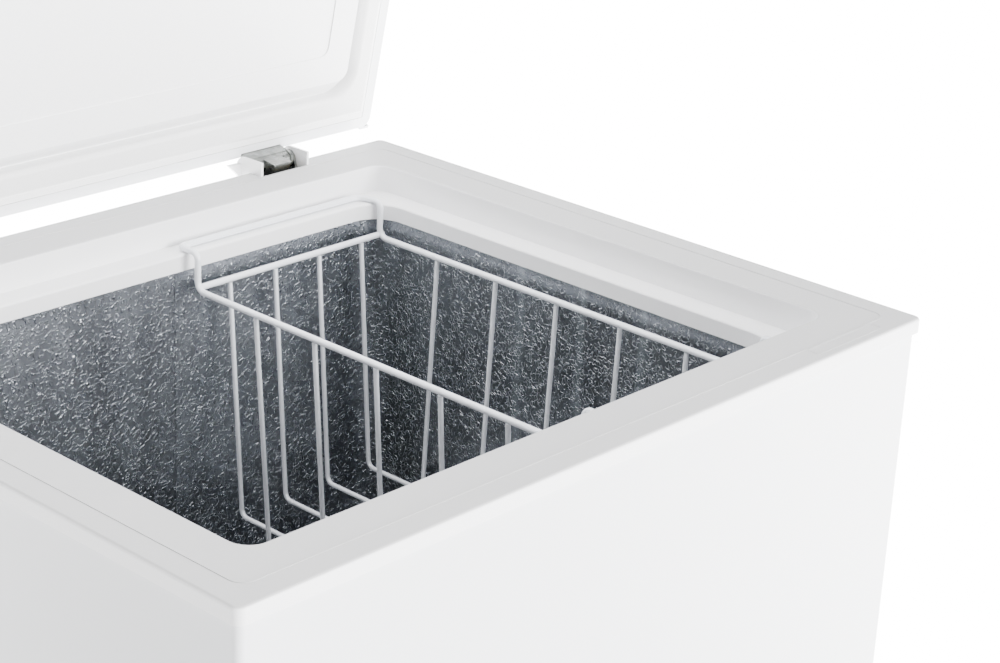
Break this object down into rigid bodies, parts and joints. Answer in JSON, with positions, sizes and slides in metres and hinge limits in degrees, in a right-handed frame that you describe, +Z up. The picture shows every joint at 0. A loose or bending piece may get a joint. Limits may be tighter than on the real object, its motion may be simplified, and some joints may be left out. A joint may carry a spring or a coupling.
{
  "type": "chest freezer",
  "caption": "Compact chest freezer, lift-up lid on two sprung hinges open, embossed aluminium tank and hanging wire basket.",
  "frame": {"origin": "on the floor under the middle of the top frame's footprint", "axes": "+X to the right seen from the front, +Y to the back where the hinges are, +Z up"},
  "size_m": [0.63, 0.6171, 1.3575],
  "materials": {
    "white_steel": "gloss",
    "white_plastic": "satin",
    "frame_plastic": "satin",
    "zinc_steel": "satin",
    "pin_steel": "polished",
    "galvanised": "matte",
    "stucco_aluminium": "satin",
    "tube_aluminium": "satin",
    "tube_steel": "satin",
    "copper": "satin",
    "insulation": "matte",
    "gasket": "matte",
    "grey_rubber": "matte",
    "black_enamel": "satin",
    "black_plastic": "matte",
    "panel_plastic": "satin",
    "knob_plastic": "gloss",
    "lamp_lens": "gloss",
    "white_wire": "gloss",
    "cable_sheath": "matte",
    "motor_iron": "matte",
    "drain_plastic": "satin"
  },
  "bodies": {
    "cabinet": {"top_frame": "frame_plastic", "cabinet_wrapper": "white_steel", "back_panel": "white_steel", "base_pan": "galvanised", "bay_partition": "galvanised", "tank_liner": "stucco_aluminium", "body_foam": "insulation", "evaporator_tube": "tube_aluminium", "condenser_tube": "tube_steel", "discharge_line": "copper", "suction_line": "copper", "capillary_tube": "copper", "filter_drier": "copper", "compressor_lower_shell": "black_enamel", "compressor_upper_shell": "black_enamel", "compressor_pump_unit": "motor_iron", "compressor_mount_plate": "galvanised", "compressor_grommets": "grey_rubber", "compressor_bolts": "zinc_steel", "terminal_cover": "black_plastic", "start_relay": "black_plastic", "wiring_harness": "cable_sheath", "bay_rear_cover": "galvanised", "bay_cover_screws": "zinc_steel", "cord_gland": "black_plastic", "side_grille": "white_plastic", "control_panel": "panel_plastic", "thermostat": "black_plastic", "thermostat_probe": "copper", "indicator_lamps": "lamp_lens", "drain_tube": "drain_plastic", "drain_outlet": "drain_plastic", "feet": "grey_rubber", "hinge_pins": "pin_steel", "hinge_base_left": "zinc_steel", "hinge_base_right": "zinc_steel", "hinge_cover_left": "white_plastic", "hinge_cover_right": "white_plastic", "hinge_reinforcements": "galvanised", "hinge_base_screws": "zinc_steel"},
    "lid": {"lid_shell": "white_steel", "lid_inner_panel": "white_plastic", "lid_gasket": "gasket", "lid_foam": "insulation", "lid_handle": "white_plastic", "hinge_leaf_left": "zinc_steel", "hinge_leaf_right": "zinc_steel", "hinge_rivets": "zinc_steel"},
    "plunger_left": {"hinge_plunger_left": "black_plastic", "hinge_spring_left": "pin_steel"},
    "plunger_right": {"hinge_plunger_right": "black_plastic", "hinge_spring_right": "pin_steel"},
    "basket": {"basket_rim": "white_wire", "basket_long_wires": "white_wire", "basket_cross_wires": "white_wire"},
    "knob": {"thermostat_knob": "knob_plastic"},
    "cap": {"drain_cap": "drain_plastic"},
    "plug": {"drain_plug": "drain_plastic"}
  },
  "joints": [
    {"name": "lid_hinge", "type": "hinge", "parent": "cabinet", "child": "lid", "pos_m": [0, 0.2764, 0.7947], "axis": [1, 0, 0], "range_deg": [0, 79.4], "stiffness_Nm_per_rad": 5, "springref_deg": -5.73},
    {"name": "plunger_slide_left", "type": "slide", "parent": "cabinet", "child": "plunger_left", "axis": [0, 0, -1], "range_m": [0, 0.0098], "deforming": ["hinge_spring_left"]},
    {"name": "plunger_slide_right", "type": "slide", "parent": "cabinet", "child": "plunger_right", "axis": [0, 0, -1], "range_m": [0, 0.0098], "deforming": ["hinge_spring_right"]},
    {"name": "basket_slide", "type": "slide", "parent": "cabinet", "child": "basket", "axis": [-1, 0, 0], "range_m": [0, 0.27]},
    {"name": "thermostat_turn", "type": "hinge", "parent": "cabinet", "child": "knob", "pos_m": [0.19, -0.284, 0.176], "axis": [0, -1, 0], "range_deg": [0, 300]},
    {"name": "drain_cap_pull", "type": "slide", "parent": "cabinet", "child": "cap", "axis": [0, -1, 0], "range_m": [0, 0.03]},
    {"name": "drain_plug_pull", "type": "slide", "parent": "cabinet", "child": "plug", "axis": [0, 0, 1], "range_m": [0, 0.03]}
  ],
  "couplings": [
    {"joint": "plunger_slide_left", "follows": "lid_hinge", "m_per_rad": 0.007},
    {"joint": "plunger_slide_right", "follows": "lid_hinge", "m_per_rad": 0.007}
  ]
}
